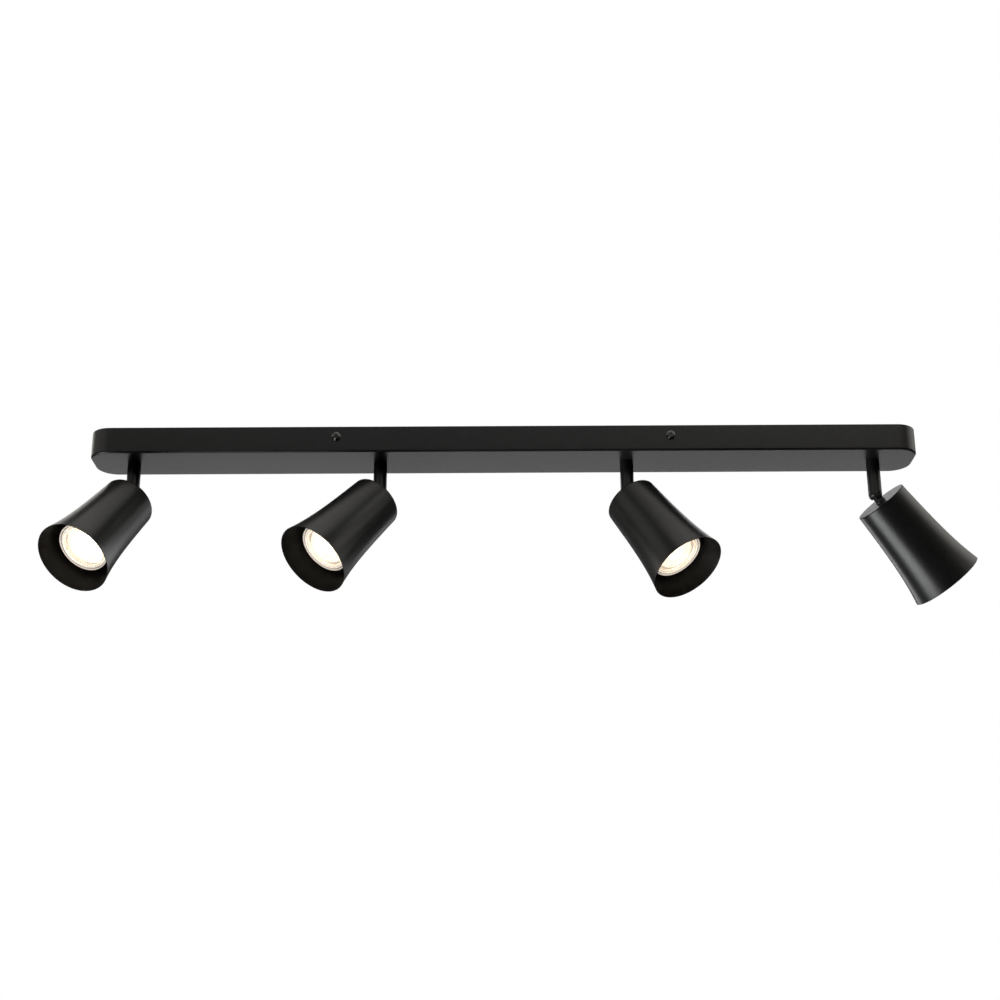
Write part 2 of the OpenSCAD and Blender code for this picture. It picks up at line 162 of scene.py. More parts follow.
def head_frame(n):
    """Where head n's own axes lie: z along its beam and x along its tilt screw."""
    pivot = Vector(JOINTS[f"tilt_{n}"]["pos_m"])
    x = -Vector(JOINTS[f"tilt_{n}"]["axis"])
    z = Vector(JOINTS[f"lamp_twist_{n}"]["axis"])
    return Matrix.Translation(pivot) @ Matrix((x, z.cross(x), z)).transposed().to_4x4()


def stem_frame(n):
    """Where stem n's own axes lie: z up and x along its tilt screw, with heights as on the tray."""
    x = -Vector(JOINTS[f"tilt_{n}"]["axis"])
    z = Vector((0, 0, 1))
    foot = Vector(JOINTS[f"pan_{n}"]["pos_m"])
    foot.z = 0
    return Matrix.Translation(foot) @ Matrix((x, z.cross(x), z)).transposed().to_4x4()


# ---- Mesh building ----


def join_rings(bm, lower, upper):
    """Faces between two rings of points. A ring of one point is a pole."""
    for k in range(max(len(lower), len(upper))):
        corners = [
            lower[k % len(lower)],
            lower[(k + 1) % len(lower)],
            upper[(k + 1) % len(upper)],
            upper[k % len(upper)],
        ]
        corners = list(dict.fromkeys(corners))
        if len(corners) > 2:
            bm.faces.new(corners)


def revolve(outline, segments=96):
    """A solid of revolution about z. An outline that starts on the axis also ends on it."""
    bm = bmesh.new()
    rings = []
    for r, z in outline:
        count = segments if r > 0 else 1
        turns = [2 * math.pi * k / count for k in range(count)]
        rings.append([bm.verts.new((r * math.cos(a), r * math.sin(a), z)) for a in turns])
    for lower, upper in zip(rings, rings[1:]):
        join_rings(bm, lower, upper)
    if outline[0][0] > 0:
        join_rings(bm, rings[-1], rings[0])
    return bm


def filleted(corners, steps=5):
    """An outline whose corners are given as (x, y) or, rounded by a radius, as (x, y, radius)."""
    points = []
    for k, corner in enumerate(corners):
        here = Vector(corner[:2])
        if len(corner) == 2:
            points.append(here)
            continue
        radius = corner[2]
        back = (Vector(corners[k - 1][:2]) - here).normalized()
        on = (Vector(corners[(k + 1) % len(corners)][:2]) - here).normalized()
        half = back.angle(on) / 2
        centre = here + (back + on).normalized() * radius / math.sin(half)
        start = here + back * radius / math.tan(half) - centre
        end = here + on * radius / math.tan(half) - centre
        # slerp gives unit vectors
        points += [centre + start.slerp(end, s / steps) * radius for s in range(steps + 1)]
    return points


def steps_between(start, end, count):
    """Evenly spaced values with both ends."""
    return [start + (end - start) * k / count for k in range(count + 1)]


def arc(centre, radius, start, end, steps=8):
    """Points along an arc, with its angles in degrees."""
    angles = steps_between(math.radians(start), math.radians(end), steps)
    return [(centre[0] + radius * math.cos(a), centre[1] + radius * math.sin(a)) for a in angles]


def extrude(outline, low, high):
    """A prism along z over an outline in x and y."""
    bm = bmesh.new()
    rings = [[bm.verts.new((x, y, z)) for x, y in outline] for z in (low, high)]
    join_rings(bm, *rings)
    for ring in rings:
        bm.faces.new(ring)
    return bm


def block(low, high):
    """A box between two corners."""
    (x0, y0, z0), (x1, y1, z1) = low, high
    return extrude([(x0, y0), (x1, y0), (x1, y1), (x0, y1)], z0, z1)


def cylinder(radius, low, high, segments=48):
    return revolve([(0, low), (radius, low), (radius, high), (0, high)], segments)


def placed(bm, matrix):
    bm.transform(matrix)
    return bm


def together(*shapes):
    """Several separate shapes in one mesh."""
    mesh = bpy.data.meshes.new("shapes")
    bm = bmesh.new()
    for shape in shapes:
        shape.to_mesh(mesh)
        shape.free()
        bm.from_mesh(mesh)
    bpy.data.meshes.remove(mesh)
    return bm


def boolean(bm, tool, operation):
    """One closed mesh with another taken out of it or joined to it."""
    objects = []
    for shape in (bm, tool):
        bmesh.ops.recalc_face_normals(shape, faces=shape.faces)
        mesh = bpy.data.meshes.new("shape")
        shape.to_mesh(mesh)
        shape.free()
        objects.append(bpy.data.objects.new("shape", mesh))
        bpy.context.scene.collection.objects.link(objects[-1])
    modifier = objects[0].modifiers.new("boolean", "BOOLEAN")
    modifier.object = objects[1]
    modifier.operation = operation
    modifier.solver = "EXACT"
    result = bmesh.new()
    result.from_object(objects[0], bpy.context.evaluated_depsgraph_get())
    for obj in objects:
        mesh = obj.data
        bpy.data.objects.remove(obj)
        bpy.data.meshes.remove(mesh)
    return result


def cut(bm, tool):
    return boolean(bm, tool, "DIFFERENCE")


def join(bm, tool):
    return boolean(bm, tool, "UNION")


def soften(bm, width, where=lambda point: True, least=40, segments=2):
    """Rounds the edges that turn by more than the least angle and lie where asked."""
    bmesh.ops.recalc_face_normals(bm, faces=bm.faces)
    edges = [
        edge
        for edge in bm.edges
        if len(edge.link_faces) == 2
        and edge.calc_face_angle() > math.radians(least)
        and all(where(vert.co) for vert in edge.verts)
    ]
    bmesh.ops.bevel(
        bm,
        geom=edges,
        offset=width,
        segments=segments,
        affect="EDGES",
        profile=0.5,
        clamp_overlap=True,
    )
    return bm


def piece(name, bm, place, body, slot, replaced=(), sharp=35, finish=None):
    """Turns a shape in millimetres into a piece in metres that rides on a body."""
    bmesh.ops.recalc_face_normals(bm, faces=bm.faces)
    bm.transform(place @ Matrix.Scale(MM, 4))
    mesh = bpy.data.meshes.new(name)
    bm.to_mesh(mesh)
    bm.free()
    mesh.polygons.foreach_set("use_smooth", [True] * len(mesh.polygons))
    mesh.set_sharp_from_angle(angle=math.radians(sharp))
    mesh.materials.append(MATERIALS[finish or slot])
    obj = bpy.data.objects.new(name, mesh)
    bpy.context.scene.collection.objects.link(obj)
    modifier = obj.modifiers.new("even_normals", "WEIGHTED_NORMAL")
    modifier.keep_sharp = True
    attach(obj, body)
    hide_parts(*replaced)
    return obj


# ---- Materials ----


class Surface:
    """A material with a Principled shader and short ways to drive it from textures."""

    def __init__(self, name, **settings):
        self.material = bpy.data.materials.new(name)
        self.material.use_nodes = True
        self.nodes = self.material.node_tree.nodes
        self.links = self.material.node_tree.links
        self.shader = self.nodes["Principled BSDF"]
        self.place = self.nodes.new("ShaderNodeTexCoord").outputs["Object"]
        for socket, value in settings.items():
            self.shader.inputs[socket.replace("_", " ")].default_value = value

    def noise(self, size, detail=2.0, stretch=(1, 1, 1)):
        """Noise whose patches are about size millimetres across."""
        mapping = self.nodes.new("ShaderNodeMapping")
        mapping.inputs["Scale"].default_value = stretch
        texture = self.nodes.new("ShaderNodeTexNoise")
        texture.inputs["Scale"].default_value = 1 / (size * MM)
        texture.inputs["Detail"].default_value = detail
        self.links.new(self.place, mapping.inputs["Vector"])
        self.links.new(mapping.outputs["Vector"], texture.inputs["Vector"])
        return texture.outputs["Fac"]

    def between(self, value, low, high, start=0.3, end=0.7):
        """A value from start to end, spread over low to high."""
        spread = self.nodes.new("ShaderNodeMapRange")
        for socket, number in zip(("From Min", "From Max", "To Min", "To Max"), (start, end, low, high)):
            spread.inputs[socket].default_value = number
        self.links.new(value, spread.inputs["Value"])
        return spread.outputs["Result"]

    def shades(self, value, *stops):
        """Colours along a value: each stop is (position, colour)."""
        ramp = self.nodes.new("ShaderNodeValToRGB")
        elements = ramp.color_ramp.elements
        while len(elements) < len(stops):
            elements.new(0.5)
        for element, (position, colour) in zip(elements, stops):
            element.position = position
            element.color = (*colour, 1)
        self.links.new(value, ramp.inputs["Fac"])
        return ramp.outputs["Color"]

    def drive(self, socket, value):
        self.links.new(value, self.shader.inputs[socket])

    def bump(self, height, depth, strength=1.0):
        """Relief of a depth in millimetres."""
        bump = self.nodes.new("ShaderNodeBump")
        bump.inputs["Distance"].default_value = depth * MM
        bump.inputs["Strength"].default_value = strength
        self.links.new(height, bump.inputs["Height"])
        self.links.new(bump.outputs["Normal"], self.shader.inputs["Normal"])


def coated(name, tone, roughness, grain=0.3, relief=0.005, gloss=0.5):
    """Black paint or blackening over steel, with a fine grain."""
    surface = Surface(name, Specular_IOR_Level=gloss)
    low, high = (tuple(tone * share * c for c in (1, 1, 0.98)) for share in (0.85, 1.15))
    surface.drive("Base Color", surface.shades(surface.noise(9), (0.3, low), (0.7, high)))
    surface.drive("Roughness", surface.between(surface.noise(4), roughness - 0.015, roughness + 0.015))
    surface.bump(surface.noise(grain, detail=3), relief)
    return surface.material


def metal(name, low, high, roughness, stretch=(1, 1, 1)):
    """Bare or plated metal with soft cloudy changes."""
    surface = Surface(name, Metallic=1.0)
    surface.drive("Base Color", surface.shades(surface.noise(3, 4, stretch), (0.3, low), (0.7, high)))
    surface.drive("Roughness", surface.between(surface.noise(1.5), roughness - 0.07, roughness + 0.07))
    surface.bump(surface.noise(0.4), 0.003)
    return surface.material


def moulded(name, low, high, roughness, patch=2.5):
    """Moulded plastic, rubber or ceramic."""
    surface = Surface(name)
    surface.drive("Base Color", surface.shades(surface.noise(patch), (0.3, low), (0.7, high)))
    surface.drive("Roughness", surface.between(surface.noise(1), roughness - 0.05, roughness + 0.05))
    surface.bump(surface.noise(0.3), 0.01)
    return surface.material


def glow_of(surface, strength, *stops):
    """Light that a piece's own glow values give, coloured by those values."""
    glow = surface.nodes.new("ShaderNodeAttribute")
    glow.attribute_name = "glow"
    surface.drive("Emission Color", surface.shades(glow.outputs["Fac"], *stops))
    surface.drive("Emission Strength", surface.between(glow.outputs["Fac"], 0, strength, 0, 1))


def lens_clear():
    tint = (0.8, 0.77, 0.72, 1)
    surface = Surface("lamp_lens_clear", Base_Color=tint, IOR=1.49, Transmission_Weight=1.0)
    surface.drive("Roughness", surface.between(surface.noise(2), 0.03, 0.08))
    glow_of(surface, 1.0, (0.0, (1, 0.7, 0.45)), (0.5, (1, 0.88, 0.7)), (1.0, (1, 0.95, 0.88)))
    return surface.material


def lamp_glass():
    surface = Surface("lamp_glass", Base_Color=(0.95, 0.95, 0.95, 1), IOR=1.5, Transmission_Weight=0.9)
    surface.drive("Roughness", surface.between(surface.noise(3), 0.04, 0.09))
    glow_of(surface, 1.0, (0.0, (1, 0.85, 0.7)), (1.0, (1, 0.92, 0.85)))
    return surface.material


def lit_reflector():
    """The inside of a lit lamp, brightest around its light source; the reflector's glow is painted light bounced
    from the source.
    """
    surface = Surface("lit_reflector", Base_Color=(0.8, 0.78, 0.74, 1))
    surface.drive("Roughness", surface.between(surface.noise(2), 0.2, 0.35))
    glow_of(surface, 5.0, (0.0, (1, 0.66, 0.36)), (0.12, (1, 0.82, 0.6)), (1.0, (1, 0.93, 0.82)))
    return surface.material


MATERIALS = {
    "black_powder_coat": coated("black_powder_coat", 0.011, 0.35),
    "black_screw": metal("black_screw", (0.1, 0.1, 0.1), (0.15, 0.15, 0.145), 0.27),
    "galvanised_steel": metal("galvanised_steel", (0.54, 0.55, 0.57), (0.62, 0.63, 0.64), 0.4),
    "zinc_screw": metal("zinc_screw", (0.6, 0.61, 0.63), (0.72, 0.72, 0.72), 0.3),
    "terminal_brass": metal("terminal_brass", (0.62, 0.46, 0.2), (0.76, 0.6, 0.3), 0.3),
    "grommet_rubber": moulded("grommet_rubber", (0.02, 0.02, 0.02), (0.035, 0.035, 0.035), 0.65),
    "terminal_plastic": moulded("terminal_plastic", (0.8, 0.78, 0.7), (0.86, 0.84, 0.77), 0.45),
    "brown_insulation": moulded("brown_insulation", (0.1, 0.04, 0.02), (0.14, 0.06, 0.03), 0.4),
    "blue_insulation": moulded("blue_insulation", (0.03, 0.1, 0.42), (0.05, 0.14, 0.5), 0.4),
    "green_yellow_insulation": moulded(
        "green_yellow_insulation", (0.1, 0.36, 0.05), (0.7, 0.62, 0.05), 0.4
    ),
    "holder_ceramic": moulded("holder_ceramic", (0.74, 0.72, 0.66), (0.82, 0.8, 0.75), 0.4),
    "lead_silicone": moulded("lead_silicone", (0.5, 0.47, 0.4), (0.6, 0.56, 0.48), 0.5),
    "lamp_base_plastic": moulded("lamp_base_plastic", (0.72, 0.71, 0.67), (0.8, 0.79, 0.75), 0.35),
    "lamp_glass": lamp_glass(),
    "lamp_lens_clear": lens_clear(),
    "lit_reflector": lit_reflector(),
    # a matt black lining, darker than the outside: partly a real matt finish, partly painted shade inside the
    # shades' hollows and seams
    "lining_and_painted_shade": coated("lining_and_painted_shade", 0.004, 0.5, relief=0.01, gloss=0.25),
}


def dress_cad_nodes():
    """Gives every CAD node the material of its slot."""
    for row in frame["record"]["subparts"]:
        node = frame["nodes"][row["node"]]
        node.data.materials.clear()
        node.data.materials.append(MATERIALS[row["material_slot"]])


# ---- Tray ----


def tray_ring(bm, inset, z, steps=14):
    """A ring around the tray at a distance inside its outer wall."""
    middle = (TRAY_LOW + TRAY_HIGH) / 2
    run_x = TRAY_HIGH.x - CORNER_R
    run_y = TRAY_HIGH.y - CORNER_R
    ring = []
    for quarter, (sx, sy) in enumerate(((1, 1), (-1, 1), (-1, -1), (1, -1))):
        centre = (middle.x + sx * run_x, middle.y + sy * run_y)
        start = 90 * quarter
        bend = arc(centre, CORNER_R - inset, start, start + 90, steps)
        ring += [bm.verts.new((x, y, z)) for x, y in bend]
    return ring


def tray():
    bm = bmesh.new()
    bend_centre = (BEND_R, TRAY_LOW.z + BEND_R)
    flat = 2 * BEND_R
    lip = SHEET_T / 2
    section = [(flat, FLOOR_Z)]
    section += arc(bend_centre, BEND_R - SHEET_T, 270, 180, 6)
    section += arc((lip, -lip), lip, 0, 180, 8)
    section += arc(bend_centre, BEND_R, 180, 270, 10)
    section += [(flat, TRAY_LOW.z)]
    rings = [tray_ring(bm, inset, z) for inset, z in section]
    for lower, upper in zip(rings, rings[1:]):
        join_rings(bm, lower, upper)
    bm.faces.new(rings[0])
    bm.faces.new(rings[-1])
    stems = [JOINTS[f"pan_{n}"]["pos_m"][0] / MM for n in HEADS]
    low, high = TRAY_LOW.z - 1, FLOOR_Z + 1
    holes = [placed(cylinder(SPIGOT_R + 0.05, low, high), Matrix.Translation((x, 0, 0))) for x in stems]
    pins = [
        placed(
            cylinder(STOP_PIN_R, FLOOR_Z - SHEET_T / 2, FLOOR_Z + STOP_PIN_H, 24),
            Matrix.Translation((x, STOP_PIN_Y, 0)),
        )
        for x in stems
    ]
    bm = cut(bm, together(*holes))
    bm = join(bm, together(*pins))
    piece("tray", bm, Matrix(), "bar", "black_powder_coat", ["bar_cover"])


# ---- Side screws ----


def side_screw():
    """A collared screw with a cross recess, its head towards +z."""
    outline = filleted([
        (0, -SHANK_L), (SHANK_R - 0.4, -SHANK_L), (SHANK_R, 0.6 - SHANK_L), (SHANK_R, 0),
        (SCREW_COLLAR_R, 0, 0.1), (SCREW_COLLAR_R, COLLAR_TOP - 0.1, 0.25),
        (SCREW_HEAD_R, COLLAR_TOP, 0.15), (SCREW_HEAD_R - 0.15, 1.9, 0.5),
        (2.6, SCREW_HEAD_OUT, 0.8), (0, SCREW_HEAD_OUT),
    ])
    bm = revolve([(max(p[0], 0), p[1]) for p in outline], 48)
    for turn in (0, 90):
        arm = block((-RECESS_L / 2, -RECESS_W / 2, RECESS_BOTTOM), (RECESS_L / 2, RECESS_W / 2, 4))
        for vert in arm.verts:
            # the recess tapers towards its bottom
            if vert.co.z < SCREW_HEAD_OUT:
                vert.co.x *= 0.45
                vert.co.y *= 0.7
        bm = cut(bm, placed(arm, Matrix.Rotation(math.radians(turn), 4, "Z")))
    # one face for the flat top, so that it shades evenly
    bmesh.ops.dissolve_limit(bm, angle_limit=math.radians(1), verts=bm.verts, edges=bm.edges)
    return soften(bm, 0.08, lambda point: point.z > 1.0)


def side_screws():
    low, high = (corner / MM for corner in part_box("side_screws"))
    x = high.x - SCREW_COLLAR_R
    z = (low.z + high.z) / 2
    y = high.y - SCREW_HEAD_OUT
    spots = [(sx * x, sy * y, sy) for sx in (-1, 1) for sy in (-1, 1)]
    shapes = []
    for k, (sx, sy, side) in enumerate(spots):
        turn = Matrix.Rotation(math.radians(-90 * side), 4, "X") @ Matrix.Rotation(0.5 + 1.3 * k, 4, "Z")
        shapes.append(placed(side_screw(), Matrix.Translation((sx, sy, z)) @ turn))
    piece("collared_screws", together(*shapes), Matrix(), "bar", "black_screw", ["side_screws"])


# ---- Stems and knuckles ----


def stem(n):
    thread = []
    pitch = 0.8
    turns = int((SPIGOT_TOP - BARREL_TOP - 1) / pitch)
    for k in range(turns):
        z = BARREL_TOP + 0.8 + k * pitch
        thread += [(SPIGOT_R - 0.35, z), (SPIGOT_R, z + pitch / 2)]
    outline = [(0, PIVOT_Z - STEM_END_R)]
    outline += arc((STEM_R - STEM_END_R, PIVOT_Z), STEM_END_R, -90, 0, 10)
    outline += [(STEM_R, BARREL_TOP - 1)]
    outline += arc((STEM_R - 0.4, BARREL_TOP - 0.4), 0.4, 0, 90, 4)
    outline += [(SPIGOT_R - 0.35, BARREL_TOP)]
    outline += thread
    outline += [(SPIGOT_R - 0.4, SPIGOT_TOP), (STEM_BORE_R + 0.3, SPIGOT_TOP)]
    outline += [(STEM_BORE_R, SPIGOT_TOP - 0.3), (STEM_BORE_R, PIVOT_Z + FORK_ROOF - 0.5)]
    outline += [(0, PIVOT_Z + FORK_ROOF - 0.5)]
    bm = revolve(outline, 64)
    half = FORK_GAP / 2
    clear = 2 * STEM_R
    slot = block((-half, -clear, PIVOT_Z - clear), (half, FORK_BACK, PIVOT_Z + FORK_ROOF))
    along_pin = Matrix.Translation((0, 0, PIVOT_Z)) @ Matrix.Rotation(math.radians(90), 4, "Y")
    bores = together(
        placed(cylinder(TILT_PIN_R + 0.05, PIN_HEAD_SEAT - 0.01, PIN_NUT_SEAT + 0.01, 32), along_pin),
        placed(cylinder(PIN_HEAD_R + 0.2, -STEM_R - 1, PIN_HEAD_SEAT, 40), along_pin),
        placed(cylinder(NUT_POCKET_R, PIN_NUT_SEAT, STEM_R + 1, 6), along_pin),
    )
    bm = cut(cut(bm, slot), bores)
    soften(bm, 0.25, lambda point: point.z < PIVOT_Z + FORK_ROOF + 1)
    piece(f"stem_tube_{n}", bm, stem_frame(n), f"swivel_{n}", "black_powder_coat", [f"stem_{n}"])


def nut(across, bore, low, high):
    """A hexagon nut with chamfered corners."""
    corner_r = across / 2 / math.cos(math.radians(30))
    flank_r = across / 2
    drop = (corner_r - flank_r) * 0.6
    body = cylinder(corner_r, low, high, 6)
    outline = [(0, low), (flank_r, low), (corner_r, low + drop)]
    outline += [(corner_r, high - drop), (flank_r, high), (0, high)]
    cone = revolve(outline, 64)
    return cut(boolean(body, cone, "INTERSECT"), cylinder(bore, low - 1, high + 1))


def stem_nut(n):
    """The stop washer with its tab, the split spring washer and the nut, inside the tray."""
    tab_low = (-STOP_TAB_W / 2, -STOP_PIN_Y - 1, WASHER_Z)
    tab_high = (STOP_TAB_W / 2, -5, WASHER_Z + WASHER_T)
    washer = join(cylinder(STOP_WASHER_R, WASHER_Z, WASHER_Z + WASHER_T, 64), block(tab_low, tab_high))
    washer = soften(cut(washer, cylinder(SPIGOT_R + 0.05, WASHER_Z - 1, WASHER_Z + 2)), 0.12)
    spring_z = WASHER_Z + WASHER_T
    spring = cylinder(STOP_WASHER_R, spring_z, spring_z + WASHER_T, 64)
    spring = cut(spring, cylinder(SPIGOT_R + 0.3, spring_z - 1, spring_z + 2))
    split = block((-SPRING_GAP / 2, 0, spring_z - 1), (SPRING_GAP / 2, STOP_WASHER_R + 1, spring_z + 2))
    split = placed(split, Matrix.Rotation(math.radians(130), 4, "Z"))
    spring = soften(cut(spring, split), 0.12)
    nut_z = spring_z + WASHER_T
    shapes = together(washer, spring, nut(STEM_NUT_W, SPIGOT_R + 0.05, nut_z, nut_z + STEM_NUT_T))
    piece(f"stem_nut_{n}", shapes, stem_frame(n), f"swivel_{n}", "zinc_screw", [f"swivel_fasteners_{n}"])


def tilt_screw(n):
    """A slotted screw through the fork, and its nut."""
    outline = filleted([
        (0, PIN_HEAD_TOP), (PIN_HEAD_R, PIN_HEAD_TOP, 0.35), (PIN_HEAD_R, PIN_HEAD_SEAT, 0.1),
        (TILT_PIN_R, PIN_HEAD_SEAT), (TILT_PIN_R, PIN_END, 0.3), (0, PIN_END),
    ])
    screw = revolve([tuple(p) for p in outline], 48)
    slot_low = (-PIN_HEAD_R - 0.3, -PIN_SLOT_W / 2, PIN_HEAD_TOP - 1)
    slot_high = (PIN_HEAD_R + 0.3, PIN_SLOT_W / 2, PIN_HEAD_TOP + PIN_SLOT_DEPTH)
    screw = cut(screw, block(slot_low, slot_high))
    shapes = together(screw, nut(PIN_NUT_W, TILT_PIN_R + 0.05, PIN_NUT_SEAT, PIN_END))
    along_pin = Matrix.Translation((0, 0, PIVOT_Z)) @ Matrix.Rotation(math.radians(90), 4, "Y")
    piece(f"tilt_screw_{n}", placed(shapes, along_pin), stem_frame(n), f"swivel_{n}", "black_screw",
          [f"swivel_fasteners_{n}"])


def knuckle(n):
    half = TONGUE_W / 2
    outline = [(half, CAP_Z - 1), (half, 1.6)]
    outline += arc((0, 0), TONGUE_END_R, 23, -203, 20)
    outline += [(-half, 1.6), (-half, CAP_Z - 1)]
    tongue = extrude(outline, -TONGUE_T / 2, TONGUE_T / 2)
    # the outline's x and y become the head's y and z
    turn = Matrix(((0, 0, 1, 0), (1, 0, 0, 0), (0, 1, 0, 0), (0, 0, 0, 1)))
    tongue = soften(placed(tongue, turn), 0.5, segments=3)
    flange = filleted([
        (0, FLANGE_Z), (FLANGE_R, FLANGE_Z, 0.3), (FLANGE_R, CAP_Z),
        (STUD_R, CAP_Z), (STUD_R, STUD_END, 0.3), (0, STUD_END),
    ])
    bm = join(tongue, revolve([tuple(p) for p in flange], 64))
    pin_bore = cylinder(TILT_PIN_R + 0.05, -TONGUE_T, TONGUE_T, 32)
    bm = cut(bm, placed(pin_bore, Matrix.Rotation(math.radians(90), 4, "Y")))
    # the leads' way in, from the back of the tongue to the end of the stud
    bm = cut(bm, cylinder(LEAD_WAY_R, LEAD_WAY_Z - 0.2, STUD_END + 1, 24))
    entry = Matrix.Translation((0, 0, LEAD_WAY_Z)) @ Matrix.Rotation(math.radians(-90), 4, "X")
    bm = cut(bm, placed(cylinder(LEAD_WAY_R - 0.2, 0, 6, 24), entry))
    piece(f"tilt_knuckle_{n}", bm, head_frame(n), f"head_{n}", "black_powder_coat", [f"knuckle_{n}"])


# ---- Shades ----


def flare(z):
    """Outer radius of a shade at a height z along the beam."""
    t = (z - CAP_Z) / HEAD_L
    return BACK_R + (RIM_R - BACK_R) * (EVEN_FLARE * t + (1 - EVEN_FLARE) * t**FLARE_POWER)


def shade(n):
    """A spun shell with a rounded rim, matt inside, where the darker lining is partly painted shade."""
    start = CAP_Z + PLATE_EDGE + SEAM_W
    edge = SHADE_T / 2
    heights = steps_between(start + 0.15, RIM_Z - edge, 32)
    outline = [(flare(start) - SHADE_T, start), (flare(start) - 0.15, start)]
    outline += [(flare(start) - 0.04, start + 0.04)]
    outline += [(flare(z), z) for z in heights]
    outline += arc((flare(RIM_Z) - edge, RIM_Z - edge), edge, 0, 180, 8)[1:-1]
    outline += [(flare(z) - SHADE_T, z) for z in reversed(heights)]
    bm = revolve(outline, 112)
    obj = piece(f"flared_shade_{n}", bm, head_frame(n), f"head_{n}", "black_powder_coat", [f"shade_{n}"])
    obj.data.materials.append(MATERIALS["lining_and_painted_shade"])
    head = head_frame(n).inverted()
    # faces inside the shell and on its rim take the darker lining, partly painted shade in the hollow
    for face in obj.data.polygons:
        centre = head @ face.center / MM
        normal = head.to_3x3() @ face.normal
        inside = centre.xy.length < flare(centre.z) - edge and normal.xy.dot(centre.xy) < 0
        inside = inside or centre.z > RIM_Z - edge
        face.material_index = int(inside)


def back_cap(n):
    """A plate over the shade's end, with a plug inside it and a seam between them whose floor takes the darker
    lining as painted shade.
    """
    plug_r = BACK_R - SHADE_T - 0.05
    seam_r = BACK_R - SEAM_DEPTH
    seam = CAP_Z + PLATE_EDGE
    corners = [
        (STUD_R + 0.05, CAP_Z), (BACK_R, CAP_Z, 0.15), (BACK_R, seam, 0.1), (seam_r, seam),
        (seam_r, seam + SEAM_W - 0.02), (plug_r, seam + SEAM_W - 0.02), (plug_r, CAP_Z + 5),
        (plug_r - 1.2, CAP_Z + 5), (plug_r - 1.2, CAP_Z + CAP_T), (STUD_R + 0.05, CAP_Z + CAP_T),
    ]
    bm = revolve([tuple(p) for p in filleted(corners)], 112)
    obj = piece(f"end_plate_{n}", bm, head_frame(n), f"head_{n}", "black_powder_coat", [f"back_cap_{n}"])
    obj.data.materials.append(MATERIALS["lining_and_painted_shade"])
    head = head_frame(n).inverted()
    for face in obj.data.polygons:
        # the seam's floor and walls take the darker lining: painted shade in the groove
        centre = head @ face.center / MM
        face.material_index = int(centre.z > seam - 0.05 and centre.xy.length > plug_r)


# ---- Lamps ----


def glow_layer(bm, rule):
    """Stores how brightly each point glows, as a rule of its place."""
    layer = bm.verts.layers.float.new("glow")
    for vert in bm.verts:
        vert[layer] = rule(vert.co)


def lamp_bulb(n):
    reach = LAMP_FRONT - BAND_L - COLLAR_Z
    shell = []
    for k in range(17):
        t = k / 16
        shell.append((COLLAR_R + (LAMP_R - COLLAR_R) * t**0.7, COLLAR_Z + reach * t))
    outline = shell + [(LAMP_R, LAMP_FRONT - 0.7)]
    outline += arc((LAMP_R - 0.6, LAMP_FRONT - 0.6), 0.6, 0, 180, 8)
    outline += [(r - GLASS_T, z) for r, z in reversed(shell[1:])]
    outline += [(COLLAR_R - GLASS_T + 0.05, COLLAR_Z)]
    bm = revolve(outline, 96)
    glow_layer(bm, lambda p: 0.45 * max(0, 1 - (LAMP_FRONT - p.z) / 1.5))
    piece(f"bulb_glass_{n}", bm, head_frame(n), f"lamp_{n}", "lamp_glass", [f"lamp_bulb_{n}"])


def lens_rows():
    """The lens's face from its edge in: radius, depth below the lamp's front, rib depth and glow."""
    rows = [(LENS_R, LENS_BACK, 0, 0), (LENS_R, 2.0, 0, 0), (BEAD_R + 0.9, 2.0, 0, 0)]
    # a round bead
    for a in steps_between(0, math.pi, 8):
        r = BEAD_R + 0.8 * math.cos(a)
        rows.append((r, 1.35 - 0.75 * math.sin(a), 0, 0.1 + 0.65 * math.sin(a)))
    rows += [(BEAD_R - 0.9, 2.0, 0, 0), (RIB_START_R + 0.3, 2.0, 0, 0)]
    rows += [(RIB_START_R + 0.15, 0.75, 0, 0.15)]
    # the ribs, deepest along their middle
    for t in steps_between(0, 1, 8):
        depth = RIB_DEPTH * math.sin(math.pi * (0.12 + 0.84 * t))
        rows.append((RIB_START_R - RIB_L * t, 0.6 + 0.4 * t, depth, 0.42 + 0.12 * t))
    # a groove and a step inside the ribs
    inner = RIB_START_R - RIB_L
    rows += [(inner - 0.2, 1.6, 0, 0.2), (inner - 0.5, 1.6, 0, 0.2)]
    rows += [(inner - 0.7, 0.9, 0, 0.5), (inner - 1.4, 0.8, 0, 0.55), (inner - 1.6, 1.2, 0, 0.4)]
    for outer in STEP_EDGES:
        rows += [(outer, 1.15, 0, 0.42), (outer - 0.5, 0.8, 0, 0.58), (outer - 1.0, 1.15, 0, 0.42)]
    # a dome in the middle
    rows.append((DOME_R + 0.3, 1.5, 0, 0.35))
    for a in steps_between(0.1, math.pi / 2, 6):
        rows.append((DOME_R * math.cos(a), 1.5 - 0.9 * math.sin(a), 0, 0.6))
    return rows


def lamp_lens(n):
    """A lens with a bead, a ring of radial ribs, fine steps and a domed middle."""
    per_rib = 4
    spokes = RIBS * per_rib
    bm = bmesh.new()
    layer = bm.verts.layers.float.new("glow")
    rings = [[bm.verts.new((0, 0, LAMP_FRONT - LENS_BACK))]]
    for r, below, depth, glow in lens_rows():
        ring = []
        for k in range(spokes if r > 0.01 else 1):
            a = 2 * math.pi * k / spokes
            wave = 0.5 - 0.5 * math.cos(2 * math.pi * k / per_rib)
            z = LAMP_FRONT - below - depth * wave
            vert = bm.verts.new((r * math.cos(a), r * math.sin(a), z))
            # the valleys between ribs are darker
            vert[layer] = glow * (1 - 0.75 * min(1, 1.6 * depth) * wave)
            ring.append(vert)
        rings.append(ring)
    for lower, upper in zip(rings, rings[1:]):
        join_rings(bm, lower, upper)
    piece(f"ribbed_lens_{n}", bm, head_frame(n), f"lamp_{n}", "lamp_lens_clear", [f"lamp_lens_{n}"],
          sharp=50)


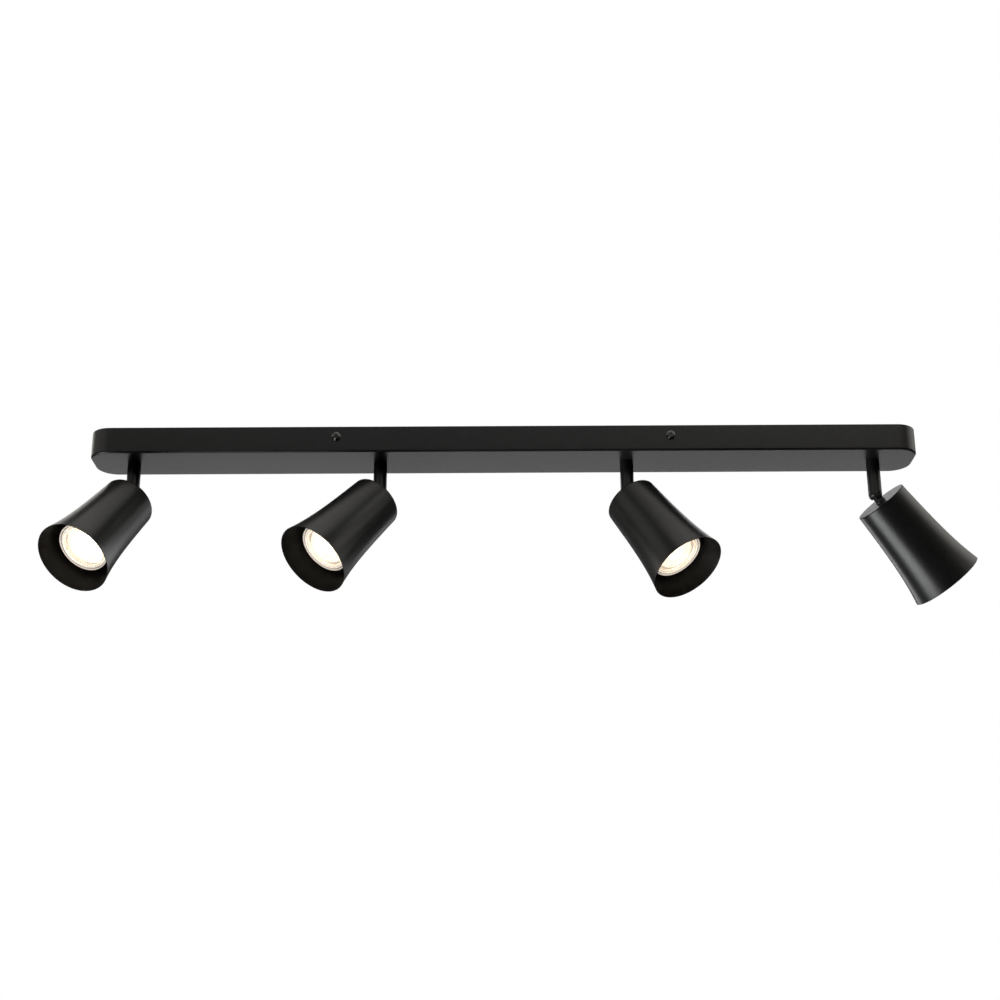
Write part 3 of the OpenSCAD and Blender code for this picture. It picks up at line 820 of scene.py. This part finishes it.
def lamp_inside(n):
    """The light source and the reflector behind a lens, with painted bounce light on the reflector."""
    start = LAMP_FRONT - SOURCE_DEPTH
    reach = SOURCE_DEPTH - LENS_BACK - 0.2
    outline = [(0, start + SOURCE_DOME)]
    for a in steps_between(0.2, math.pi / 2, 6):
        outline.append((SOURCE_R * math.sin(a), start + SOURCE_DOME * math.cos(a)))
    outline.append((SOURCE_R + 1.5, start))
    cone = []
    for t in steps_between(0, 1, 12):
        cone.append((SOURCE_R + 1.7 + REFLECTOR_FLARE * t**0.8, start + reach * t))
    outline += cone + [(r + 0.2, z) for r, z in reversed(cone)] + [(0, start - 0.1)]
    bm = revolve(outline, 96)

    def glow(point):
        if point.xy.length < SOURCE_R + 0.1:
            return 1.0
        # the reflector walls glow faintly, dimmer towards the lens: painted light bounced from the source
        return 0.09 - 0.05 * (point.z - start) / SOURCE_DEPTH

    glow_layer(bm, glow)
    piece(f"lamp_inside_{n}", bm, head_frame(n), f"lamp_{n}", "lamp_base_plastic",
          finish="lit_reflector")


# ---- Studio and camera ----


def softbox(name, azimuth, elevation, distance, size, radiance, colour=(1, 1, 1)):
    """A soft rectangular light that faces the middle of the bar. Azimuth 0 is behind the camera."""
    a, e = math.radians(azimuth), math.radians(elevation)
    way = Vector((math.sin(a) * math.cos(e), -math.cos(a) * math.cos(e), math.sin(e)))
    light = bpy.data.lights.new(name, "AREA")
    light.shape = "RECTANGLE"
    light.size, light.size_y = size
    light.color = colour
    # a face of this radiance gives pi times its area in watts
    light.energy = radiance * math.pi * size[0] * size[1]
    lamp = bpy.data.objects.new(name, light)
    bpy.context.scene.collection.objects.link(lamp)
    lamp.location = Vector((0, 0, -0.08)) + way * distance
    lamp.rotation_mode = "QUATERNION"
    lamp.rotation_quaternion = (-way).to_track_quat("-Z", "Y")
    lamp.visible_camera = False
    return lamp


def lights():
    """Softboxes that give the sheens along the tray and the shades."""
    softbox("low_left", -90, -50, 1.8, (0.7, 0.7), 7.4, COOL)
    softbox("low_front_left", -60, -50, 1.8, (0.7, 0.7), 7.0)
    softbox("high_front_right", 42, 36, 1.8, (1.2, 0.5), 2.4, WARM)
    softbox("high_front", -5, 36, 1.8, (1.6, 0.5), 1.1)
    softbox("left", -66, 28, 1.8, (2.0, 0.9), 0.65, WARM)
    softbox("back_left", -130, 28, 1.8, (1.2, 0.9), 1.5, WARM)
    softbox("right", 100, 28, 1.8, (1.4, 0.9), 1.35, WARM)
    softbox("back_right", 152, 25, 2.0, (1.1, 1.2), 1.6)
    softbox("back_low", 180, -8, 2.5, (3.6, 0.5), 2.95)
    softbox("overhead", 0, 88, 1.8, (1.6, 1.6), 0.95, WARM)


def backdrop(strength):
    """A plain white surround for the camera, and a softer one for reflections."""
    world = bpy.data.worlds.new("surround")
    bpy.context.scene.world = world
    world.use_nodes = True
    nodes, links = world.node_tree.nodes, world.node_tree.links
    nodes.clear()
    seen = nodes.new("ShaderNodeBackground")
    seen.inputs["Strength"].default_value = 1.0
    seen.inputs["Color"].default_value = (1, 1, 1, 1)
    lit = nodes.new("ShaderNodeBackground")
    lit.inputs["Strength"].default_value = strength
    lit.inputs["Color"].default_value = (1, 1, 1, 1)
    mix = nodes.new("ShaderNodeMixShader")
    ray = nodes.new("ShaderNodeLightPath")
    out = nodes.new("ShaderNodeOutputWorld")
    links.new(ray.outputs["Is Camera Ray"], mix.inputs["Fac"])
    links.new(lit.outputs["Background"], mix.inputs[1])
    links.new(seen.outputs["Background"], mix.inputs[2])
    links.new(mix.outputs["Shader"], out.inputs["Surface"])


def floor():
    """A pale floor, as far below the ceiling as in a room."""
    bm = bmesh.new()
    bmesh.ops.create_grid(bm, x_segments=8, y_segments=8, size=60.0)
    mesh = bpy.data.meshes.new("floor")
    bm.to_mesh(mesh)
    bm.free()
    # its own even light keeps it pale out to its edges
    surface = Surface("floor_paint", Emission_Color=(1, 1, 1, 1), Emission_Strength=0.78)
    patches = surface.noise(400)
    surface.drive("Base Color", surface.shades(patches, (0.3, (0.8,) * 3), (0.7, (0.84,) * 3)))
    mesh.materials.append(surface.material)
    obj = bpy.data.objects.new("floor", mesh)
    bpy.context.scene.collection.objects.link(obj)
    obj.location.z = -2.4
    # it adds no light to the bar
    obj.visible_diffuse = False
    obj.visible_glossy = False


def camera():
    """Looks along +Y and up at the bar from below."""
    distance, elevation, roll = 1.6456, math.radians(20.36), math.radians(-0.27)
    target = Vector((-0.0036, 0, -0.0652))
    data = bpy.data.cameras.new("camera")
    data.lens = 61.2
    data.clip_end = 100
    cam = bpy.data.objects.new("camera", data)
    bpy.context.scene.collection.objects.link(cam)
    away = Vector((0, -math.cos(elevation), -math.sin(elevation)))
    cam.location = target + away * distance
    cam.rotation_mode = "QUATERNION"
    level = (-away).to_track_quat("-Z", "Y")
    cam.rotation_quaternion = level @ Matrix.Rotation(roll, 3, "Z").to_quaternion()
    bpy.context.scene.camera = cam


# ---- Assembly ----

camera()
dress_cad_nodes()
tray()
side_screws()
for n in HEADS:
    stem(n)
    stem_nut(n)
    tilt_screw(n)
    knuckle(n)
    back_cap(n)
    shade(n)
    lamp_bulb(n)
    lamp_lens(n)
    lamp_inside(n)

floor()
backdrop(0.02)
lights()
bpy.context.scene.view_settings.view_transform = "Standard"
